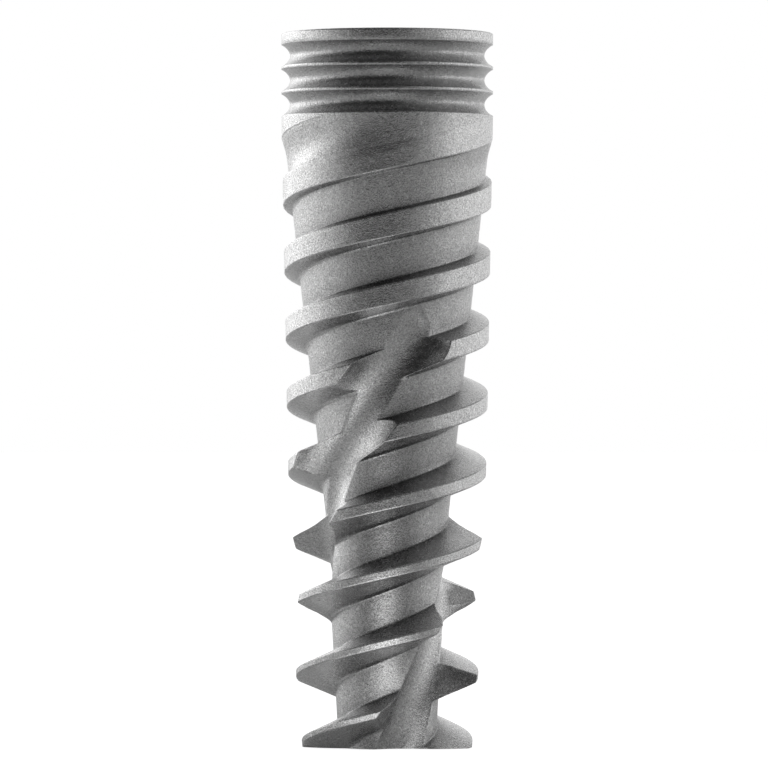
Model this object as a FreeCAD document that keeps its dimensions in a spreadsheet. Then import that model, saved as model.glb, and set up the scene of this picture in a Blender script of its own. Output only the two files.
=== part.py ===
import FreeCAD, Part
import os
import Sketcher

# Dental implant body: grooved collar, tapering core, double-start thread, two helical flutes,
# and the bevel, hexagon socket and screw bore of the abutment connection.
# The origin is on the axis in the flat apex, and +Z runs up the axis to the platform.
# Lengths are in millimetres and angles in degrees.

SIZES = [
    # whole body
    ("body_length", 13.0),
    ("collar_dia", 3.86),
    # micro-grooves round the collar, counted down from the platform
    ("micro_count", 3),
    ("micro_width", 0.386),
    ("micro_depth", 0.157),
    ("micro_pitch", 0.443),
    ("micro_first", 0.40),
    # envelope of the thread crests: a long taper that ends under the collar, then an arc that
    # draws in to the apex
    ("collar_height", 1.5),
    ("crest_mid_height", 4.03),
    ("crest_mid_dia", 3.576),
    ("crest_apex_dia", 3.09),
    # core between the threads: a slim lower cone and a wider upper one, which reaches the collar's
    # diameter at a distance below the platform
    ("core_apex_dia", 1.764),
    ("core_mid_height", 4.25),
    ("core_mid_dia", 2.248),
    ("core_top_drop", 1.3427),
    # groove between the threads, one for each start
    ("thread_starts", 2),
    ("thread_lead", 2.501),
    ("thread_phase", 80.9),
    ("groove_width", 0.517),
    ("groove_dia", 1.254),
    ("groove_taper", 4.9),
    ("coronal_flank", 18.85),
    ("apical_flank", 18.05),
    # helical cutting flutes, milled with a ball-nosed cutter
    ("flute_count", 2),
    ("flute_lead", 14.34),
    ("flute_phase", -78.7),
    ("flute_radius", 0.70),
    ("flute_floor_dia", 1.24),
    ("flute_taper", 5.95),
    ("flute_top", 7.6),
    # abutment connection, sunk from the platform
    ("bevel_dia", 3.0),
    ("bevel_angle", 45.0),
    ("socket_flats", 2.42),
    ("socket_depth", 2.0),
    ("bore_dia", 1.6),
    ("bore_depth", 5.4),
    ("bore_entry_dia", 1.9),
    ("drill_point_angle", 118.0),
    # how far each cutter runs past the surface that it opens
    ("overrun", 0.3),
]

UP = FreeCAD.Vector(0, 0, 1)
UPRIGHT = FreeCAD.Rotation(FreeCAD.Vector(1, 0, 0), 90)

doc = FreeCAD.newDocument("dental_implant")
sheet = doc.addObject("Spreadsheet::Sheet", "Sizes")
for row, (alias, value) in enumerate(SIZES, start=1):
    sheet.set("A%d" % row, alias)
    sheet.set("B%d" % row, str(value))
    sheet.setAlias("B%d" % row, alias)
doc.recompute()


def value_of(expression):
    """Value of an expression over the sheet's aliases."""
    return float(sheet.evalExpression(expression.replace("Sizes.", "")))


def bind(obj, **expressions):
    """Tie properties of an object to expressions over the sheet."""
    for name, expression in expressions.items():
        obj.setExpression(name, expression)
    return obj


def turned(angle):
    """Rotation about the implant's axis."""
    return FreeCAD.Rotation(UP, angle)


def pin_point(sketch, line, end, across, height):
    """Hold one point of a sketch at a distance from the axis and a height, both expressions."""
    for kind, expression in (("DistanceX", across), ("DistanceY", height)):
        value = value_of(expression)
        if abs(value) < 1e-9:
            axis = -2 if kind == "DistanceX" else -1
            sketch.addConstraint(Sketcher.Constraint("PointOnObject", line, end, axis))
            continue
        if value > 0:
            rule = Sketcher.Constraint(kind, -1, 1, line, end, value)
        else:
            rule = Sketcher.Constraint(kind, line, end, -1, 1, -value)
            expression = "-(%s)" % expression
        index = sketch.addConstraint(rule)
        sketch.setExpression("Constraints[%d]" % index, expression)


def closed_profile(name, corners, arc_after=None):
    """Sketch in the XZ plane through the given corners, each a pair of expressions.

    The side that starts at corner number arc_after is an arc, tangent to the side after it."""
    sketch = doc.addObject("Sketcher::SketchObject", name)
    sketch.Placement = FreeCAD.Placement(FreeCAD.Vector(0, 0, 0), UPRIGHT)
    points = []
    for across, height in corners:
        points.append(FreeCAD.Vector(value_of(across), value_of(height), 0))
    for index, start in enumerate(points):
        end = points[(index + 1) % len(points)]
        if index == arc_after:
            bulge = FreeCAD.Vector(1, 0, 0) * (start.distanceToPoint(end) * 0.01)
            sketch.addGeometry(Part.Arc(start, (start + end) * 0.5 + bulge, end), False)
        else:
            sketch.addGeometry(Part.LineSegment(start, end), False)
    for index, (across, height) in enumerate(corners):
        following = (index + 1) % len(corners)
        if index == arc_after:
            sketch.addConstraint(Sketcher.Constraint("Tangent", index, 2, following, 1))
        else:
            sketch.addConstraint(Sketcher.Constraint("Coincident", index, 2, following, 1))
        pin_point(sketch, index, 1, across, height)
    return sketch


def revolved(name, profile):
    """Full turn of a profile about the implant's axis."""
    solid = doc.addObject("Part::Revolution", name)
    solid.Source = profile
    solid.Axis = UP
    solid.Base = FreeCAD.Vector(0, 0, 0)
    solid.Angle = 360
    solid.Solid = True
    return solid


def cut(name, base, tool):
    """Base with the tool taken away."""
    result = doc.addObject("Part::Cut", name)
    result.Base = base
    result.Tool = tool
    return result


# Blank: the turned shape that encloses the thread crests and the collar.
CREST_TOP = "Sizes.body_length - Sizes.collar_height"
blank_profile = closed_profile(
    "BlankProfile",
    [
        ("0", "0"),
        ("Sizes.crest_apex_dia / 2", "0"),
        ("Sizes.crest_mid_dia / 2", "Sizes.crest_mid_height"),
        ("Sizes.collar_dia / 2", CREST_TOP),
        ("Sizes.collar_dia / 2", "Sizes.body_length"),
        ("0", "Sizes.body_length"),
    ],
    arc_after=1,
)
blank = revolved("Blank", blank_profile)

# Core: the upper cone widens until it meets the collar, so the thread grooves run out there.
CORE_MEETS_COLLAR = "(Sizes.body_length - Sizes.core_top_drop)"
core_profile = closed_profile(
    "CoreProfile",
    [
        ("0", "0"),
        ("Sizes.core_apex_dia / 2", "0"),
        ("Sizes.core_mid_dia / 2", "Sizes.core_mid_height"),
        ("Sizes.collar_dia / 2", CORE_MEETS_COLLAR),
        ("Sizes.collar_dia / 2", "Sizes.body_length"),
        ("0", "Sizes.body_length"),
    ],
)
core = revolved("Core", core_profile)

# Thread grooves: a trapezoid swept along a conical helix from below the apex to inside the collar.
# The groove's floor lies under the core, which closes it, so the core alone sets the root.
GROOVE_START = "(-Sizes.groove_width - Sizes.overrun)"
GROOVE_SLOPE = "tan(Sizes.groove_taper * 1deg)"
GROOVE_FOOT = "(Sizes.groove_dia / 2 + %s * %s)" % (GROOVE_START, GROOVE_SLOPE)
GROOVE_MOUTH = "(Sizes.collar_dia / 2 + Sizes.overrun)"
GROOVE_REACH = "(%s - %s)" % (GROOVE_MOUTH, GROOVE_FOOT)
GROOVE_END = "(%s + Sizes.groove_width)" % CORE_MEETS_COLLAR
GROOVE_LOW = "%s - Sizes.groove_width / 2" % GROOVE_START
GROOVE_HIGH = "%s + Sizes.groove_width / 2" % GROOVE_START
CORONAL_RISE = "%s * tan(Sizes.coronal_flank * 1deg)" % GROOVE_REACH
APICAL_RISE = "%s * tan(Sizes.apical_flank * 1deg)" % GROOVE_REACH


def thread_groove(number):
    """Cutter for one start's groove."""
    section = closed_profile(
        "GrooveSection%d" % number,
        [
            (GROOVE_FOOT, GROOVE_LOW),
            (GROOVE_MOUTH, "%s - %s" % (GROOVE_LOW, CORONAL_RISE)),
            (GROOVE_MOUTH, "%s + %s" % (GROOVE_HIGH, APICAL_RISE)),
            (GROOVE_FOOT, GROOVE_HIGH),
        ],
    )
    path = doc.addObject("Part::Helix", "GrooveHelix%d" % number)
    path.SegmentLength = 1
    path.Style = 1
    bind(
        path,
        Pitch="Sizes.thread_lead",
        Height="%s - %s" % (GROOVE_END, GROOVE_START),
        Radius=GROOVE_FOOT,
        Angle="Sizes.groove_taper * 1deg",
    )
    turn = "Sizes.thread_phase + 360 * %s / Sizes.thread_lead" % GROOVE_START
    turn = value_of("%s + %d * 360 / Sizes.thread_starts" % (turn, number))
    path.Placement = FreeCAD.Placement(UP * value_of(GROOVE_START), turned(turn))
    section.Placement = FreeCAD.Placement(FreeCAD.Vector(0, 0, 0), turned(turn) * UPRIGHT)
    doc.recompute()
    # The section has to stay upright while the helix widens, which the plain sweep doesn't do.
    pipe = Part.BRepOffsetAPI.MakePipeShell(Part.Wire(path.Shape.Edges))
    pipe.setBiNormalMode(UP)
    pipe.add(Part.Wire(section.Shape.Edges))
    pipe.build()
    pipe.makeSolid()
    cutter = doc.addObject("Part::Feature", "GrooveCutter%d" % number)
    cutter.Shape = pipe.shape()
    return cutter


threaded = blank
for start in range(int(value_of("thread_starts"))):
    threaded = cut("Grooved%d" % start, threaded, thread_groove(start))
cored = doc.addObject("Part::Fuse", "ThreadedCore")
cored.Base = threaded
cored.Tool = core

# Flutes: a ball-nosed cutter runs up a conical helix and stops, which leaves a round end.
FLUTE_START = "(-Sizes.flute_radius - Sizes.overrun)"
FLUTE_SLOPE = "tan(Sizes.flute_taper * 1deg)"
FLUTE_MIDDLE = "Sizes.flute_floor_dia / 2 + Sizes.flute_radius"
FLUTE_FOOT = "(%s + %s * %s)" % (FLUTE_MIDDLE, FLUTE_START, FLUTE_SLOPE)
FLUTE_HEAD = "(%s + Sizes.flute_top * %s)" % (FLUTE_MIDDLE, FLUTE_SLOPE)


def flute_turn(height, number):
    """Rotation about the axis to a flute's middle line at a height."""
    turn = "Sizes.flute_phase + 360 * %s / Sizes.flute_lead" % height
    return turned(value_of("%s + %d * 360 / Sizes.flute_count" % (turn, number)))


def flute(number):
    """Cutters for one flute: the swept circle and the ball at its upper end."""
    path = doc.addObject("Part::Helix", "FluteHelix%d" % number)
    path.SegmentLength = 0.5
    path.Style = 1
    bind(
        path,
        Pitch="Sizes.flute_lead",
        Height="Sizes.flute_top - %s" % FLUTE_START,
        Radius=FLUTE_FOOT,
        Angle="Sizes.flute_taper * 1deg",
    )
    path.Placement = FreeCAD.Placement(UP * value_of(FLUTE_START), flute_turn(FLUTE_START, number))
    doc.recompute()
    edge = path.Shape.Edges[0]
    section = doc.addObject("Part::Circle", "FluteSection%d" % number)
    bind(section, Radius="Sizes.flute_radius")
    along = edge.tangentAt(edge.FirstParameter)
    section.Placement = FreeCAD.Placement(edge.Vertexes[0].Point, FreeCAD.Rotation(UP, along))
    sweep = doc.addObject("Part::Sweep", "FluteCutter%d" % number)
    sweep.Sections = [section]
    sweep.Spine = (path, ["Edge%d" % (n + 1) for n in range(len(path.Shape.Edges))])
    sweep.Solid = True
    sweep.Frenet = True
    ball = doc.addObject("Part::Sphere", "FluteEnd%d" % number)
    bind(ball, Radius="Sizes.flute_radius")
    spin = flute_turn("Sizes.flute_top", number)
    centre = FreeCAD.Vector(value_of(FLUTE_HEAD), 0, value_of("Sizes.flute_top"))
    ball.Placement = FreeCAD.Placement(spin.multVec(centre), spin)
    return sweep, ball


fluted = cored
for number in range(int(value_of("flute_count"))):
    for tool in flute(number):
        fluted = cut(tool.Name + "Cut", fluted, tool)

# Micro-grooves: each is half an ellipse deep and turned about the axis, centred on the collar.
grooved = fluted
for number in range(int(value_of("micro_count"))):
    oval = doc.addObject("Part::Ellipse", "MicroOval%d" % number)
    oval.Placement.Rotation = UPRIGHT * turned(90)
    bind(oval, MajorRadius="Sizes.micro_width / 2", MinorRadius="Sizes.micro_depth")
    oval.setExpression(".Placement.Base.x", "Sizes.collar_dia / 2")
    oval.setExpression(
        ".Placement.Base.z",
        "Sizes.body_length - Sizes.micro_first - %d * Sizes.micro_pitch" % number,
    )
    ring = revolved("MicroGroove%d" % number, oval)
    grooved = cut("Collar%d" % number, grooved, ring)

# Abutment connection, from the platform down: bevel, hexagon socket, bore entry, bore, drill point.
SOCKET_FLOOR = "(Sizes.body_length - Sizes.socket_depth)"
BORE_FLOOR = "(Sizes.body_length - Sizes.bore_depth)"
BEVEL_HEIGHT = "(Sizes.bevel_dia - Sizes.socket_flats) / 2 / tan(Sizes.bevel_angle * 1deg)"
ENTRY_HEIGHT = "(Sizes.bore_entry_dia - Sizes.bore_dia) / 2"
POINT_HEIGHT = "Sizes.bore_dia / 2 / tan(Sizes.drill_point_angle / 2 * 1deg)"

bevel = doc.addObject("Part::Cone", "Bevel")
bind(bevel, Radius1="Sizes.socket_flats / 2", Radius2="Sizes.bevel_dia / 2", Height=BEVEL_HEIGHT)
bevel.setExpression(".Placement.Base.z", "Sizes.body_length - %s" % BEVEL_HEIGHT)

hexagon = doc.addObject("Part::Prism", "HexagonSocket")
hexagon.Polygon = 6
bind(
    hexagon,
    Circumradius="Sizes.socket_flats / 2 / cos(30deg)",
    Height="Sizes.socket_depth + Sizes.overrun",
)
hexagon.setExpression(".Placement.Base.z", SOCKET_FLOOR)

entry = doc.addObject("Part::Cone", "BoreEntry")
bind(
    entry,
    Radius1="Sizes.bore_dia / 2",
    Radius2="Sizes.bore_entry_dia / 2",
    Height=ENTRY_HEIGHT,
)
entry.setExpression(".Placement.Base.z", "%s - %s" % (SOCKET_FLOOR, ENTRY_HEIGHT))

bore = doc.addObject("Part::Cylinder", "ScrewBore")
bind(bore, Radius="Sizes.bore_dia / 2", Height="Sizes.bore_depth + Sizes.overrun")
bore.setExpression(".Placement.Base.z", BORE_FLOOR)

point = doc.addObject("Part::Cone", "DrillPoint")
bind(point, Radius1="0", Radius2="Sizes.bore_dia / 2", Height=POINT_HEIGHT)
point.setExpression(".Placement.Base.z", "%s - %s" % (BORE_FLOOR, POINT_HEIGHT))

connection = doc.addObject("Part::MultiFuse", "Connection")
connection.Shapes = [bevel, hexagon, entry, bore, point]

implant = cut("ImplantBody", grooved, connection)
implant.Label = "implant_body"
doc.recompute()

for item in doc.Objects:
    if "Invalid" in item.State or "Error" in item.State:
        raise RuntimeError("%s did not build: %s" % (item.Name, item.State))
parts = [implant]
for part in parts:
    if part.Shape.isNull() or not part.Shape.isValid():
        raise RuntimeError("%s has no valid shape" % part.Label)
    if len(part.Shape.Solids) != 1:
        raise RuntimeError("%s is not one solid" % part.Label)

os.makedirs("parts", exist_ok=True)
for part in parts:
    part.Shape.exportStep("parts/%s.step" % part.Label)
    print("%s: volume %.4f mm3" % (part.Label, part.Shape.Volume))
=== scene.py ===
import bpy
import math
import numpy as np
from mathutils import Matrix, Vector


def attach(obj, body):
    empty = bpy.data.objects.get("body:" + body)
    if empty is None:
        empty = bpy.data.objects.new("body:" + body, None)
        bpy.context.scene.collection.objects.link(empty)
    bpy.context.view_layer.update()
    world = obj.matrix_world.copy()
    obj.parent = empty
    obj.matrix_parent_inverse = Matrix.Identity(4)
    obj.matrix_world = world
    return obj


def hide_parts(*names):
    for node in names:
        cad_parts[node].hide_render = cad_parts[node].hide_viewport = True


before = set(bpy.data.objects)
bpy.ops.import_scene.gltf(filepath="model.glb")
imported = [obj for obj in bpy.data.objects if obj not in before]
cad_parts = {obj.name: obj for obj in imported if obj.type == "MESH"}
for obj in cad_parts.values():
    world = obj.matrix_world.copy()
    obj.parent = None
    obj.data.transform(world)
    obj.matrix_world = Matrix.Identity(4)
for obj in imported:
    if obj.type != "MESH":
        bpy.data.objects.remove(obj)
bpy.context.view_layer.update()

MM = 0.001

# Sizes of the implant in millimetres, with radii and not diameters; z runs up from the apex plane.
LENGTH = 13.0
COLLAR = 1.93
CREST_TOP = 11.5
CREST_MID_Z = 4.03
CREST_MID = 1.788
CREST_APEX = 1.545
CORE_APEX = 0.882
CORE_MID_Z = 4.25
CORE_MID = 1.124
CORE_SLOPE = math.tan(math.radians(6.21))

# The double-start thread groove: its foot, its two flanks and where it lifts out.
LEAD = 2.501
PHASE = math.radians(80.9)
GROOVE_HALF = 0.2585
GROOVE_FOOT = 0.627
GROOVE_SLOPE = math.tan(math.radians(4.9))
FLANK_CORONAL = math.tan(math.radians(18.85))
FLANK_APICAL = math.tan(math.radians(18.05))
LIFT_LOWER = (10.7, 11.1)
LIFT_UPPER = (10.2, 10.6)
LIFT_DEPTH = (10.9, 11.5)
LIFT_WIDER = 1.15

# The two ball-ended flutes, and how much they narrow towards the apex.
FLUTE_LEAD = 14.34
FLUTE_PHASE = math.radians(-78.7)
FLUTE_R = 0.70
FLUTE_FLOOR = 0.62
FLUTE_SLOPE = math.tan(math.radians(5.95))
FLUTE_TOP = 7.5
FLUTE_THIN = 0.11
FLUTE_REACH = 1.5
FLUTE_STEP = 0.03

# The collar's micro-grooves.
MICRO_Z = (12.592, 12.143, 11.695)
MICRO_HALF = 0.2
MICRO_DEPTH = 0.157
MICRO_FULL = 0.85

# The connection inside.
BEVEL = 1.5
SOCKET_HALF = 1.21
SOCKET_DEPTH = 2.0
BORE = 0.8
BORE_ENTRY = 0.95
BORE_DEPTH = 5.4
BORE_TIP = 0.4807
INNER_PITCH = 0.4
INNER_DEPTH = 0.16
INNER_RINGS = 86

# Roundings of edges and roots. The thread's own shrink where it is shallower than CREST_FULL and ROOT_FULL.
CREST_ROUND = 0.035
CREST_FULL = 0.05
ROOT_LOW = 0.025
ROOT_HIGH = 0.09
ROOT_FULL = 0.45
ROOT_LEAST = 0.15
FLUTE_ROUND = 0.03
EDGE = 0.03
WALL_RISE = 5.0

# The mesh: helical rows over the thread, with columns laid along the flutes' edges.
FAR = 9.0
THREAD_TOP = 11.46
SEAM = 0.003
BESIDE = np.radians([0.35, 0.9, 1.8])
LAND_COLUMNS = 14
INNER_COLUMNS = 14
LEAST_HALF = math.radians(7.0)
LEAST_CUT = 0.004
RATE = 2 * math.pi / FLUTE_LEAD
SHARP = math.radians(28)

# The blasted titanium. Each noise is spread from NOISE_LOW to NOISE_HIGH, and no further.
BASE = 0.56
ROUGH = 0.24
GRAIN_SCALE = 41000.0
GRAIN_TONE = 0.3
GRAIN_DEPTH = 0.0000065
PIT_SCALE = 9000.0
PIT_TONE = 0.08
PIT_ROUGH = 0.05
PIT_DEPTH = 0.000004
CLOUD_SCALE = 800.0
CLOUD_TONE = 0.06
NOISE_LOW = 0.3
NOISE_HIGH = 0.7
# Painted shade: ambient occlusion darkens the grey in corners and hollows, over this reach, to this tone,
# across this range.
PAINTED_SHADE_REACH = 0.0007
PAINTED_SHADE_TONE = 0.15
PAINTED_SHADE_SPREAD = (0.35, 0.95)

# The floor, and the painted glow that metal sees in it: more towards the back and far out, a little near
# the foot, where the low glow is a painted shadow.
WHITE = (1, 1, 1, 1)
PAPER = (0.8, 0.8, 0.8, 1)
FLOOR_RADIUS = 0.9
FLOOR_DROP = 0.00001
FLOOR_WHITE = 0.88
BACK_TURN = 0.3
BACK_SPREAD = (-0.8, 0.4)
FAR_SPREAD = (0.006, 0.03)
FLOOR_GLOW_FOR_METAL = 0.45
FOOT_SPREAD = (0.02, 0.06)
FOOT_GLOW_FOR_METAL = 0.07

# Light. Each spread is a range of the direction's parts, over which a level rises or falls.
FRONT_SPREAD = (-0.9, -0.12)
FRONT_LEVEL = 0.11
SIDE_LEVEL = 1.6
BACK_FADE = (0.75, 0.98)
LEFT_SPREAD = (-0.4, -0.05)
LEFT_GAIN = 1.35
RIGHT_TURN = 0.3
RIGHT_SPREAD = (0.1, 0.5)
RIGHT_RISE = (-0.02, 0.2)
RIGHT_LOSS = 0.42
TOP_TILT = 0.35
TOP_SPREAD = (0.08, 0.6)
TOP_LEVEL = 0.03
TOP_RIGHT = 0.36
TOP_ACROSS = (0.25, 0.75)
ZENITH_SPREAD = (0.8, 0.97)
ZENITH_LEVEL = 0.35
LYING_POWER = 0.00009
LYING_SIZE = (0.005, 0.0078)
LYING_PLACE = (-0.0003, -0.0056, 0.0002)
STANDING_POWER = 0.000034
STANDING_SIZE = (0.004, 0.0024)
STANDING_PLACE = (-0.0003, -0.0065, 0.0013)

# Camera, in metres: straight in front, at about half the implant's height.
LENS = 304.7
EYE = (0.0, -0.11843, 0.00605)
AIM = (-0.000058, 0.0, 0.006614)


def smooth_min(a, b, k):
    """The lower of two surfaces, with their crossing rounded over a width k."""
    h = np.clip(0.5 + 0.5 * (b - a) / k, 0.0, 1.0)
    return b * (1 - h) + a * h - k * h * (1 - h)


def smooth_max(a, b, k):
    """The higher of two surfaces, with their crossing filleted over a width k."""
    return -smooth_min(-a, -b, k)


def smooth_step(x, low, high):
    """Rises from 0 at low to 1 at high without a corner."""
    t = np.clip((x - low) / (high - low), 0.0, 1.0)
    return t * t * (3 - 2 * t)


def crest_radius(z):
    """Envelope of the thread crests: an arc that draws in to the apex, then a cone, then the collar."""
    slope = (COLLAR - CREST_MID) / (CREST_TOP - CREST_MID_Z)
    cone = CREST_MID + slope * (z - CREST_MID_Z)
    # the arc leaves the cone along its slope at CREST_MID_Z and reaches CREST_APEX at z = 0
    t = (CREST_MID_Z - z) / CREST_MID_Z
    drop = CREST_MID - slope * CREST_MID_Z - CREST_APEX
    return np.where(z > CREST_MID_Z, np.minimum(cone, COLLAR), cone - drop * t ** 2)


def core_radius(z):
    """Core between the threads: a slim lower cone and a wider upper one."""
    lower = CORE_APEX + (CORE_MID - CORE_APEX) * z / CORE_MID_Z
    upper = CORE_MID + CORE_SLOPE * (z - CORE_MID_Z)
    return np.minimum(np.where(z < CORE_MID_Z, lower, upper), COLLAR)


def groove_radius(phi, z, start):
    """One start's groove, as a radius over the whole surface."""
    turn = (phi - PHASE) / (2 * math.pi) - start / 2
    nearest = np.round(z / LEAD - turn)
    dz = z - (nearest + turn) * LEAD
    centre = z - dz
    foot = GROOVE_FOOT + GROOVE_SLOPE * centre
    crest = crest_radius(z)
    core = core_radius(z)
    below = foot + (-dz - GROOVE_HALF) / FLANK_CORONAL
    above = foot + (dz - GROOVE_HALF) / FLANK_APICAL
    fillet = np.clip((crest - core) / ROOT_FULL, ROOT_LEAST, 1.0)
    sharp = smooth_max(core, below, ROOT_LOW * fillet)
    sharp = smooth_max(sharp, above, ROOT_HIGH * fillet)
    # towards the collar the cutter lifts out: a rounded hollow takes over from the square groove
    reach = GROOVE_HALF + (crest - foot) * np.where(dz < 0, FLANK_CORONAL, FLANK_APICAL)
    reach = reach * np.where(dz < 0, LIFT_WIDER, 1.0)
    hollow = np.clip(1 - (dz / reach) ** 2, 0.0, 1.0)
    hollow = np.where(dz < 0, hollow ** 2, hollow)
    depth = (crest - core) * (1 - smooth_step(centre, *LIFT_DEPTH))
    soft = np.where(hollow > 0, crest - depth * hollow, crest + 0.2)
    share = np.where(dz < 0, smooth_step(centre, *LIFT_LOWER), smooth_step(centre, *LIFT_UPPER))
    return sharp + (soft - sharp) * share


def flute_radius(phi, z, number):
    """Wall of one flute, as a radius over the whole surface; outside it the wall runs on steeply."""
    wall = np.full(phi.shape, FAR)
    near = np.full(phi.shape, FAR)
    level = np.full(phi.shape, FAR)
    # the wall is what a ball cuts whose centre runs along the flute's helix
    for lift in np.arange(-FLUTE_REACH, FLUTE_REACH + 0.0001, FLUTE_STEP):
        zc = np.minimum(z + lift, FLUTE_TOP)
        # towards the apex the flute narrows, and its right wall keeps its place
        thin = FLUTE_THIN * np.clip(1 - zc / CREST_MID_Z, 0.0, 1.0)
        ball = FLUTE_R - thin
        rc = FLUTE_FLOOR + ball + FLUTE_SLOPE * zc
        a = phi - (FLUTE_PHASE + RATE * zc + math.pi * number + thin / rc)
        a = (a + math.pi) % (2 * math.pi) - math.pi
        across = rc * np.sin(a)
        flat = np.where(np.abs(a) < 1.4, (z - zc) ** 2 + across ** 2, FAR ** 2)
        room = ball ** 2 - flat
        hit = rc * np.cos(a) - np.sqrt(np.maximum(room, 0.0))
        wall = np.where(room > 0, np.minimum(wall, hit), wall)
        apart = np.sqrt(flat) - ball
        closer = apart < near
        level = np.where(closer, rc * np.cos(a), level)
        near = np.where(closer, apart, near)
    return np.where(wall < FAR, wall, level + WALL_RISE * near)


def thread_radius(phi, z):
    """Radius of the threaded outside, before the flutes."""
    body = crest_radius(z)
    rounding = CREST_ROUND * np.clip((body - core_radius(z)) / CREST_FULL, 0.0, 1.0)
    for start in (0, 1):
        body = smooth_min(body, groove_radius(phi, z, start), np.maximum(rounding, 1e-6))
    return np.minimum(body, COLLAR)


def outer_radius(phi, z):
    """Radius of the threaded, fluted and micro-grooved outside."""
    body = thread_radius(phi, z)
    for number in (0, 1):
        body = smooth_min(body, flute_radius(phi, z, number), FLUTE_ROUND)
    for zc in MICRO_Z:
        t = np.clip(1 - ((z - zc) / MICRO_HALF) ** 2, 0.0, 1.0)
        body = np.minimum(body, COLLAR - MICRO_DEPTH * t ** MICRO_FULL)
    return body


def row_offsets(z0):
    """Heights of the rows of one pitch above the groove's middle line, close together at its corners."""
    foot = GROOVE_FOOT + GROOVE_SLOPE * z0
    deep = np.maximum(core_radius(z0) - foot, 0.0)
    high = np.maximum(crest_radius(z0) - foot, deep)
    # the groove's four corners, from the crest below it to the crest above it
    d1 = -GROOVE_HALF - high * FLANK_CORONAL
    d2 = -GROOVE_HALF - deep * FLANK_CORONAL
    d3 = GROOVE_HALF + deep * FLANK_APICAL
    d4 = GROOVE_HALF + high * FLANK_APICAL
    # steps beside them: c at the crests' edges, r up the flanks and f on the foot
    low = d2 - d1
    up = d4 - d3
    land = np.maximum(LEAD / 2 + d1 - d4, 0.0)
    c1 = np.minimum(0.012, 0.25 * low)
    c2 = np.minimum(0.012, 0.25 * up)
    c3 = np.minimum(0.035, 0.25 * land)
    r1 = np.minimum(0.012, 0.25 * low)
    r2 = np.minimum(0.04, 0.4 * up)
    f1 = ROOT_LOW
    f2 = ROOT_HIGH
    rows = [d1 + c3 * f for f in (-1, -0.6, -0.25, 0)] + [d1 + 0.5 * c1, d1 + c1]
    rows += [d1 + c1 + (low - c1 - r1) * f for f in (0.25, 0.5, 0.75)]
    rows += [d2 - r1, d2 - 0.4 * r1, d2, d2 + 0.4 * f1, d2 + f1]
    rows += [d2 + f1 + (d3 - d2 - f1 - f2) * f for f in (0.17, 0.34, 0.5, 0.67, 0.84)]
    rows += [d3 - f2 * f for f in (1, 0.7, 0.4, 0.15)]
    rows += [d3 + r2 * f for f in (0.3, 0.65, 1)]
    rows += [d3 + r2 + (up - c2 - r2) * f for f in (0.33, 0.67)]
    rows += [d4 - c2, d4 - 0.5 * c2] + [d4 + c3 * f for f in (0, 0.25, 0.6, 1)]
    rows += [d4 + c3 + (land - 2 * c3) * f for f in (0.2, 0.4, 0.6, 0.8)]
    return np.stack(rows, axis=0)


def row_points(columns, turns, slots):
    """Angle and height of points on the helical rows; columns follow the flutes' helix."""
    def height(z):
        return LEAD * ((columns + RATE * z - PHASE) / (2 * math.pi) + turns / 2)

    z0 = np.zeros(columns.shape)
    for _ in range(12):
        z0 = height(z0)
    slot = np.broadcast_to(slots[:, None], z0.shape)
    offset = np.take_along_axis(row_offsets(z0), slot[None], 0)[0]
    z = z0 + offset
    for _ in range(12):
        z = height(z) + offset
    return columns + RATE * z, z


def flute_edges(place, wide=60.0):
    """Angles from a flute's middle to its two edges on each row; place gives the row's points."""
    reach = np.radians(np.arange(-wide, wide + 0.01, 0.6))
    last = len(reach) - 1
    found = []
    for number in (0, 1):
        middle = FLUTE_PHASE + math.pi * number
        phi, z = place(middle + reach[None, :])
        gap = flute_radius(phi, z, number) - thread_radius(phi, z)
        row = np.arange(len(gap))
        deepest = np.argmin(gap, axis=1)
        cutting = gap[row, deepest] < -LEAST_CUT
        ends = []
        for step in (-1, 1):
            at = deepest.copy()
            for _ in reach:
                beyond = np.clip(at + step, 0, last)
                at = np.where(gap[row, beyond] < 0, beyond, at)
            beyond = np.clip(at + step, 0, last)
            a = gap[row, at]
            b = gap[row, beyond]
            share = np.clip(a / np.where(np.abs(a - b) > 1e-9, a - b, 1.0), 0.0, 1.0)
            ends.append(reach[at] + step * (reach[1] - reach[0]) * share)
        level = z[:, len(reach) // 2]
        rest = -RATE * np.clip(level - FLUTE_TOP, 0.0, FLUTE_R)
        centre = np.where(cutting, (ends[0] + ends[1]) / 2, rest)
        half = np.maximum((ends[1] - ends[0]) / 2, LEAST_HALF)
        half = np.where(cutting, half, LEAST_HALF)
        found.append((centre - half, centre + half))
    return found


def stations(edges):
    """Column angles of each row, with columns laid along the flutes' edges."""
    quarter = math.pi / 2
    margin = BESIDE[-1]
    near = np.concatenate([-BESIDE[::-1], [0.0], BESIDE])
    before = np.arange(LAND_COLUMNS) / LAND_COLUMNS
    inner = np.arange(1, INNER_COLUMNS + 1) / (INNER_COLUMNS + 1)
    parts = []
    for number, (left, right) in enumerate(edges):
        middle = FLUTE_PHASE + math.pi * number
        left = left[:, None]
        right = right[:, None]
        parts.append(middle - quarter + (left - margin + quarter) * before)
        parts.append(middle + left + near)
        parts.append(middle + left + margin + (right - left - 2 * margin) * inner)
        parts.append(middle + right + near)
        parts.append(middle + right + margin + (quarter - right - margin) * before[1:])
    return np.concatenate(parts, axis=1)


def collar_levels():
    """Heights of the rings from the thread's end, over the micro-grooves, to the rim."""
    half = np.array([0.0, 0.17, 0.33, 0.48, 0.62, 0.74, 0.84, 0.91, 0.96, 1.0])
    across = np.concatenate([-half[:0:-1], half])
    levels = [THREAD_TOP + 0.015]
    for zc in MICRO_Z[::-1]:
        levels.extend(zc + MICRO_HALF * across)
    return levels + [LENGTH - EDGE - 0.1, LENGTH - EDGE - 0.02, LENGTH - EDGE]


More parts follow.
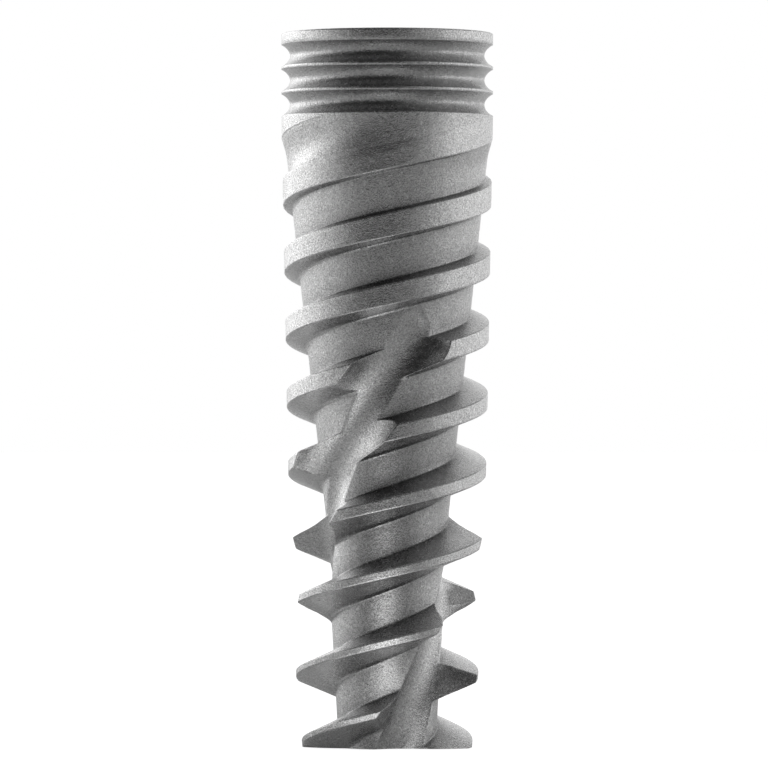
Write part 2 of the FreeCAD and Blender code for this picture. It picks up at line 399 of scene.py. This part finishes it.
def inner_rings(phi):
    """Radius and height of the rings over the rim, platform, bevel, hexagon and threaded bore."""
    rings = []
    for b in np.radians([22.5, 45.0, 67.5, 90.0]):
        rings.append((COLLAR - EDGE * (1 - math.cos(b)), LENGTH - EDGE * (1 - math.sin(b))))
    rings += [(BEVEL + 0.2, LENGTH), (BEVEL + 0.02, LENGTH)]
    rings += [(BEVEL + 0.006, LENGTH - 0.002), (BEVEL - 0.006, LENGTH - 0.01)]
    sector = (phi + math.pi / 6) % (math.pi / 3) - math.pi / 6
    flat = SOCKET_HALF / np.cos(sector)
    floor_z = LENGTH - SOCKET_DEPTH
    rings += [((BEVEL + flat) / 2, LENGTH - (BEVEL - flat) / 2), (flat, LENGTH - (BEVEL - flat))]
    rings += [(flat, LENGTH - 0.6), (flat, floor_z + 0.03), (flat - 0.03, floor_z)]
    entry = floor_z - (BORE_ENTRY - BORE)
    end = LENGTH - BORE_DEPTH
    rings += [(BORE_ENTRY, floor_z), (BORE, entry)]
    for level in np.linspace(entry - 0.02, end + 0.1, INNER_RINGS):
        t = (level / INNER_PITCH - phi / (2 * math.pi)) % 1.0
        run_out = max(0.0, (level - end - 0.35) / 0.25)
        fade = max(0.0, min(1.0, (entry - level) / 0.15, run_out))
        tooth = np.clip(2.2 * (0.5 - np.abs(t - 0.5)) - 0.1, 0.0, 0.85)
        rings.append((BORE + INNER_DEPTH * fade * tooth, level))
    return rings + [(BORE, end), (BORE / 2, end - 0.24)]


def around(radius, phi, z):
    """Points of a ring or of any set of points given by radius, angle and height."""
    radius = np.broadcast_to(radius, phi.shape)
    z = np.broadcast_to(z, phi.shape)
    return np.stack([radius * np.cos(phi), radius * np.sin(phi), z], axis=-1)


def helical_faces(number, per_lead):
    """Quads between the helical rows; a row's end joins the row one lead further up."""
    last = len(number) - 1
    faces = []
    for i in range(last):
        here = number[i]
        above = number[i + 1]
        right = np.append(here[1:], number[min(i + per_lead, last), 0])
        over = np.append(above[1:], number[min(i + 1 + per_lead, last), 0])
        faces.append(np.stack([here, right, over, above], axis=-1))
    return faces


def whole_faces(faces):
    """The faces that have at least three corners of their own, and which corners those are."""
    own = faces != np.roll(faces, -1, axis=1)
    crossed = (faces[:, 0] == faces[:, 2]) | (faces[:, 1] == faces[:, 3])
    whole = (own.sum(axis=1) >= 3) & ~crossed
    return faces[whole], own[whole]


def body_points():
    """Vertices and faces of the closed body, its first inner vertex and those on the apex plane's ring."""
    per_pitch = len(row_offsets(np.zeros(1)))
    pitches = np.arange(-4, 12)
    turns = np.repeat(pitches, per_pitch)[:, None].astype(float)
    slots = np.tile(np.arange(per_pitch), len(pitches))

    def on_rows(columns):
        columns = np.broadcast_to(columns, (len(turns), columns.shape[1]))
        return row_points(columns, turns, slots)

    def on_base(columns):
        return columns, np.zeros(columns.shape)

    phi, z = row_points(stations(flute_edges(on_rows)), turns, slots)
    n = phi.shape[1]
    base_phi = stations(flute_edges(on_base))[0]
    rest = np.full(1, -RATE * FLUTE_R)
    top_phi = stations([(rest - LEAST_HALF, rest + LEAST_HALF)] * 2)[0] + RATE * THREAD_TOP

    # the rows end on one ring at the apex plane and one below the collar's first groove
    free = (z > SEAM) & (z < THREAD_TOP - SEAM)
    used = int(free.sum())
    bottom = used + np.arange(n)
    number = np.full(z.shape, -1, dtype=np.int64)
    number[free] = np.arange(used)
    number = np.where(z <= SEAM, bottom[None, :], number)
    number = np.where(z >= THREAD_TOP - SEAM, bottom[None, :] + n, number)

    levels = collar_levels()
    outer_phi = np.concatenate([phi[free], base_phi] + [top_phi] * (len(levels) + 1))
    outer_z = [z[free], np.zeros(n), np.full(n, THREAD_TOP)] + [np.full(n, level) for level in levels]
    outer_z = np.concatenate(outer_z)
    outer = around(outer_radius(outer_phi, outer_z), outer_phi, outer_z)
    rings = [around(radius, top_phi, level) for radius, level in inner_rings(top_phi)]
    drill_point = LENGTH - BORE_DEPTH - BORE_TIP
    verts = np.concatenate([outer] + rings + [np.array([[0, 0, drill_point], [0, 0, 0]])])

    j = np.arange(n)
    after = (j + 1) % n
    faces = helical_faces(number, 2 * per_pitch)
    base = used + n
    while base + 2 * n <= len(verts) - 2:
        faces.append(np.stack([base + j, base + after, base + n + after, base + n + j], axis=-1))
        base += n
    tip = np.full(n, len(verts) - 2)
    faces.append(np.stack([base + j, base + after, tip, tip], axis=-1))
    faces.append(np.stack([bottom[after], bottom[j], tip + 1, tip + 1], axis=-1))
    return verts, np.concatenate(faces), len(outer), bottom


def build_body():
    """One closed mesh of the implant: helical rows over the thread, then rings to the drill point."""
    verts, faces, inside, bottom = body_points()
    faces, own = whole_faces(faces)
    loops = faces[own]
    counts = own.sum(axis=1)

    mesh = bpy.data.meshes.new("implant")
    mesh.vertices.add(len(verts))
    mesh.vertices.foreach_set("co", (verts * MM).ravel())
    mesh.loops.add(len(loops))
    mesh.loops.foreach_set("vertex_index", loops.astype(np.int32))
    mesh.polygons.add(len(counts))
    starts = np.concatenate([[0], np.cumsum(counts)[:-1]])
    mesh.polygons.foreach_set("loop_start", starts.astype(np.int32))
    mesh.polygons.foreach_set("loop_total", counts.astype(np.int32))
    mesh.update(calc_edges=True)
    mesh.validate(verbose=False)
    mesh.polygons.foreach_set("use_smooth", np.ones(len(mesh.polygons), dtype=bool))
    mesh.set_sharp_from_angle(angle=SHARP)

    # normals weighted by area keep the wide surfaces flat beside the narrow rounded edges
    corners = verts[faces]
    area = np.cross(corners[:, 2] - corners[:, 0], corners[:, 3] - corners[:, 1])
    normal = np.zeros((len(verts), 3))
    for corner in range(4):
        np.add.at(normal, faces[:, corner], area)
    normal /= np.maximum(np.linalg.norm(normal, axis=1), 1e-12)[:, None]
    normal[bottom] = 0
    normal[inside:] = 0
    held = np.zeros(len(mesh.loops), dtype=np.int32)
    mesh.loops.foreach_get("vertex_index", held)
    mesh.normals_split_custom_set(normal[held].tolist())
    return mesh


class Nodes:
    """The node tree of a material or world, with short ways to add to it."""

    def __init__(self, owner):
        owner.use_nodes = True
        self.tree = owner.node_tree
        self.tree.nodes.clear()

    def add(self, kind, sources=None, **settings):
        """Outputs of a new node, with its inputs linked or set."""
        node = self.tree.nodes.new(kind)
        for name, value in settings.items():
            setattr(node, name, value)
        for key, source in (sources or {}).items():
            if isinstance(source, bpy.types.NodeSocket):
                self.tree.links.new(source, node.inputs[key])
            else:
                node.inputs[key].default_value = source
        return node.outputs

    def maths(self, kind, a, b):
        """A sum, product or other result of two values."""
        return self.add("ShaderNodeMath", {0: a, 1: b}, operation=kind)[0]

    def ranged(self, value, low, high, start, end, kind="LINEAR"):
        """The value brought from the range low to high into the range start to end."""
        sources = {"Value": value, "From Min": low, "From Max": high, "To Min": start, "To Max": end}
        return self.add("ShaderNodeMapRange", sources, interpolation_type=kind)[0]

    def eased(self, value, low, high, start, end):
        """The value brought from range to range without a corner at either end."""
        return self.ranged(value, low, high, start, end, "SMOOTHSTEP")


def titanium():
    """Blasted titanium: matte grey metal with a fine sparkling grain, and painted shade in its corners."""
    material = bpy.data.materials.new("blasted_titanium")
    nodes = Nodes(material)
    place = nodes.add("ShaderNodeTexCoord")["Object"]

    def noise(scale, detail, rough):
        sources = {"Vector": place, "Scale": scale, "Detail": detail, "Roughness": rough}
        return nodes.add("ShaderNodeTexNoise", sources)[0]

    def spread(value, middle, half):
        return nodes.ranged(value, NOISE_LOW, NOISE_HIGH, middle - half, middle + half)

    grain = noise(GRAIN_SCALE, 3.0, 0.65)
    pits = noise(PIT_SCALE, 2.0, 0.5)
    cloud = noise(CLOUD_SCALE, 3.0, 0.5)
    tone = spread(grain, BASE, GRAIN_TONE)
    tone = nodes.maths("MULTIPLY", tone, spread(cloud, 1.0, CLOUD_TONE))
    tone = nodes.maths("MULTIPLY", tone, spread(pits, 1.0, PIT_TONE))
    # painted shade: ambient occlusion darkens the grey in the corners where flanks meet the core and in
    # other hollows
    corner = nodes.add("ShaderNodeAmbientOcclusion", {"Distance": PAINTED_SHADE_REACH}, samples=8, only_local=True)
    tone = nodes.maths("MULTIPLY", tone, nodes.ranged(corner["AO"], *PAINTED_SHADE_SPREAD, PAINTED_SHADE_TONE, 1.0))
    colour = nodes.add("ShaderNodeCombineColor", {0: tone, 1: tone, 2: tone})[0]
    bump = {"Strength": 1.0, "Distance": GRAIN_DEPTH, "Height": grain}
    bump = nodes.add("ShaderNodeBump", bump)[0]
    bump = {"Strength": 1.0, "Distance": PIT_DEPTH, "Height": pits, "Normal": bump}
    bump = nodes.add("ShaderNodeBump", bump)[0]
    sources = {"Base Color": colour, "Metallic": 1.0, "Normal": bump}
    sources["Roughness"] = spread(pits, ROUGH, PIT_ROUGH)
    shader = nodes.add("ShaderNodeBsdfPrincipled", sources)[0]
    nodes.add("ShaderNodeOutputMaterial", {0: shader})
    return material


def floor_paper():
    """Pale paper that the camera sees as white, with a painted glow that metal sees, dimmer in front and at
    the foot.
    """
    material = bpy.data.materials.new("floor_paper")
    nodes = Nodes(material)
    place = nodes.add("ShaderNodeTexCoord")["Object"]
    far = nodes.add("ShaderNodeVectorMath", {0: place}, operation="LENGTH")["Value"]
    side = nodes.add("ShaderNodeVectorMath", {0: place}, operation="NORMALIZE")[0]
    side = nodes.add("ShaderNodeSeparateXYZ", {0: side})
    back = nodes.maths("SUBTRACT", side["Y"], nodes.maths("MULTIPLY", side["X"], BACK_TURN))
    back = nodes.ranged(back, *BACK_SPREAD, 0.0, 1.0)
    # painted light: the floor glows for metal by place, brighter behind and far out, and low near the foot
    # as a painted shadow
    weight = nodes.maths("MULTIPLY", back, nodes.ranged(far, *FAR_SPREAD, 0.0, FLOOR_GLOW_FOR_METAL))
    weight = nodes.maths("ADD", weight, nodes.ranged(far, *FOOT_SPREAD, FOOT_GLOW_FOR_METAL, 0.0))
    path = nodes.add("ShaderNodeLightPath")
    seen = nodes.maths("MAXIMUM", path["Is Camera Ray"], path["Is Transmission Ray"])
    seen = nodes.maths("MAXIMUM", seen, nodes.maths("MULTIPLY", path["Is Glossy Ray"], weight))
    strength = nodes.maths("MULTIPLY", seen, FLOOR_WHITE)
    glow = nodes.add("ShaderNodeEmission", {"Color": WHITE, "Strength": strength})[0]
    paper = nodes.add("ShaderNodeBsdfDiffuse", {"Color": PAPER})[0]
    both = nodes.add("ShaderNodeAddShader", {0: paper, 1: glow})[0]
    nodes.add("ShaderNodeOutputMaterial", {0: both})
    return material


def lay_floor():
    """A wide round floor just under the apex."""
    mesh = bpy.data.meshes.new("floor")
    turn = np.linspace(0, 2 * math.pi, 96, endpoint=False)
    ring = [(FLOOR_RADIUS * math.cos(a), FLOOR_RADIUS * math.sin(a), -FLOOR_DROP) for a in turn]
    mesh.from_pydata(ring, [], [list(range(len(ring)))])
    mesh.materials.append(floor_paper())
    floor = bpy.data.objects.new("floor", mesh)
    bpy.context.scene.collection.objects.link(floor)


def studio_world():
    """Soft light from behind and both sides, dimmer in front and above, white to the camera."""
    world = bpy.data.worlds.new("studio")
    bpy.context.scene.world = world
    nodes = Nodes(world)
    place = nodes.add("ShaderNodeTexCoord")["Generated"]
    place = nodes.add("ShaderNodeSeparateXYZ", {0: place})
    x, y, z = place["X"], place["Y"], place["Z"]
    level = nodes.eased(y, *FRONT_SPREAD, FRONT_LEVEL, SIDE_LEVEL)
    level = nodes.maths("MULTIPLY", level, nodes.eased(y, *BACK_FADE, 1.0, 1.0 / SIDE_LEVEL))
    # stronger behind to the left and in front to the right; the other two corners dim above the horizon
    left = nodes.eased(nodes.maths("MULTIPLY", x, y), *LEFT_SPREAD, LEFT_GAIN, 1.0)
    level = nodes.maths("MULTIPLY", level, left)
    right = nodes.maths("MULTIPLY", x, nodes.maths("ADD", y, RIGHT_TURN))
    right = nodes.eased(right, *RIGHT_SPREAD, 0.0, 1.0)
    right = nodes.maths("MULTIPLY", right, nodes.eased(z, *RIGHT_RISE, 0.0, RIGHT_LOSS))
    level = nodes.maths("MULTIPLY", level, nodes.maths("SUBTRACT", 1.0, right))
    # it fades with height down to a dim level, which is higher to the right, and glows straight above
    height = nodes.maths("SUBTRACT", z, nodes.maths("MULTIPLY", y, TOP_TILT))
    level = nodes.maths("MULTIPLY", level, nodes.eased(height, *TOP_SPREAD, 1.0, 0.0))
    level = nodes.maths("MAXIMUM", level, nodes.eased(x, *TOP_ACROSS, TOP_LEVEL, TOP_RIGHT))
    level = nodes.maths("MAXIMUM", level, nodes.eased(z, *ZENITH_SPREAD, 0.0, ZENITH_LEVEL))
    path = nodes.add("ShaderNodeLightPath")
    seen = nodes.maths("MAXIMUM", path["Is Camera Ray"], path["Is Transmission Ray"])
    level = nodes.maths("MAXIMUM", level, seen)
    sky = nodes.add("ShaderNodeBackground", {"Color": WHITE, "Strength": level})[0]
    nodes.add("ShaderNodeOutputWorld", {0: sky})


def low_lamp(name, power, size, place, tilt):
    """Small soft lamp low in front, for the glints under the thread and at the foot."""
    data = bpy.data.lights.new(name, "AREA")
    data.shape = "RECTANGLE"
    data.size, data.size_y = size
    data.energy = power
    lamp = bpy.data.objects.new(name, data)
    bpy.context.scene.collection.objects.link(lamp)
    lamp.location = place
    lamp.rotation_euler = (tilt, 0.0, 0.0)
    lamp.visible_camera = False


def place_camera():
    """The photograph's view: a long lens, almost level."""
    camera = bpy.data.cameras.new("camera")
    camera.sensor_width = 36.0
    camera.lens = LENS
    camera.clip_start = 0.001
    camera.clip_end = 10.0
    eye = bpy.data.objects.new("camera", camera)
    bpy.context.scene.collection.objects.link(eye)
    eye.location = EYE
    eye.rotation_euler = (Vector(AIM) - Vector(EYE)).to_track_quat("-Z", "Y").to_euler()
    bpy.context.scene.camera = eye


implant = bpy.data.objects.new("implant", build_body())
bpy.context.scene.collection.objects.link(implant)
implant.data.materials.append(titanium())
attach(implant, "root")
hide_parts("implant_body")

lay_floor()
studio_world()
low_lamp("lying_lamp", LYING_POWER, LYING_SIZE, LYING_PLACE, math.pi)
low_lamp("standing_lamp", STANDING_POWER, STANDING_SIZE, STANDING_PLACE, math.pi / 2)
place_camera()
bpy.context.scene.view_settings.view_transform = "Standard"
